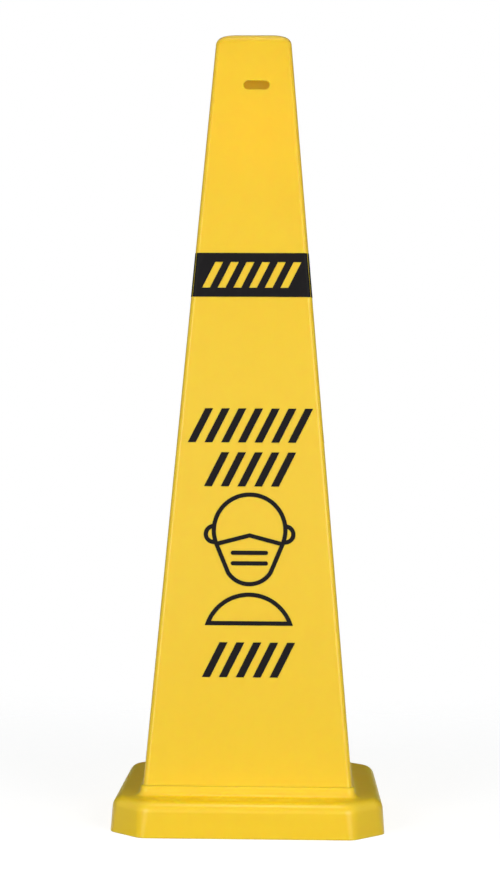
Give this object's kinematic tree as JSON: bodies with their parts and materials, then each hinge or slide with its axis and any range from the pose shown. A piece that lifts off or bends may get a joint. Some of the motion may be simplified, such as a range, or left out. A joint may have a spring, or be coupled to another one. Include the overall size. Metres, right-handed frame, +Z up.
{
  "type": "cone sign",
  "caption": "Tall four-sided yellow floor sign cone with a closed top, chain slots, black graphics and a loose weighted base with cut corners.",
  "frame": {"origin": "middle of the floor face, on the cone's axis", "axes": "+Z up the cone's axis, -Y out of the front face, +X to the right of someone facing the front"},
  "size_m": [0.306, 0.306, 0.914],
  "materials": {
    "yellow_plastic": "glossy moulded polyethylene",
    "black_vinyl": "satin cut vinyl",
    "ballast_rubber": "moulded recycled rubber",
    "screw_steel": "zinc plated"
  },
  "bodies": {
    "cone": {"cone_body": "yellow_plastic", "header_band_front": "black_vinyl", "header_band_right": "black_vinyl", "header_band_back": "black_vinyl", "header_band_left": "black_vinyl", "hazard_bars_front": "black_vinyl", "hazard_bars_right": "black_vinyl", "hazard_bars_back": "black_vinyl", "hazard_bars_left": "black_vinyl", "symbol_front": "black_vinyl", "symbol_right": "black_vinyl", "symbol_back": "black_vinyl", "symbol_left": "black_vinyl"},
    "base": {"base_cover": "yellow_plastic", "weight_ring": "ballast_rubber", "base_screws": "screw_steel"}
  },
  "joints": [
    {"name": "base_lift", "type": "slide", "parent": "cone", "child": "base", "axis": [0, 0, 1], "range_m": [0, 0.93]}
  ]
}
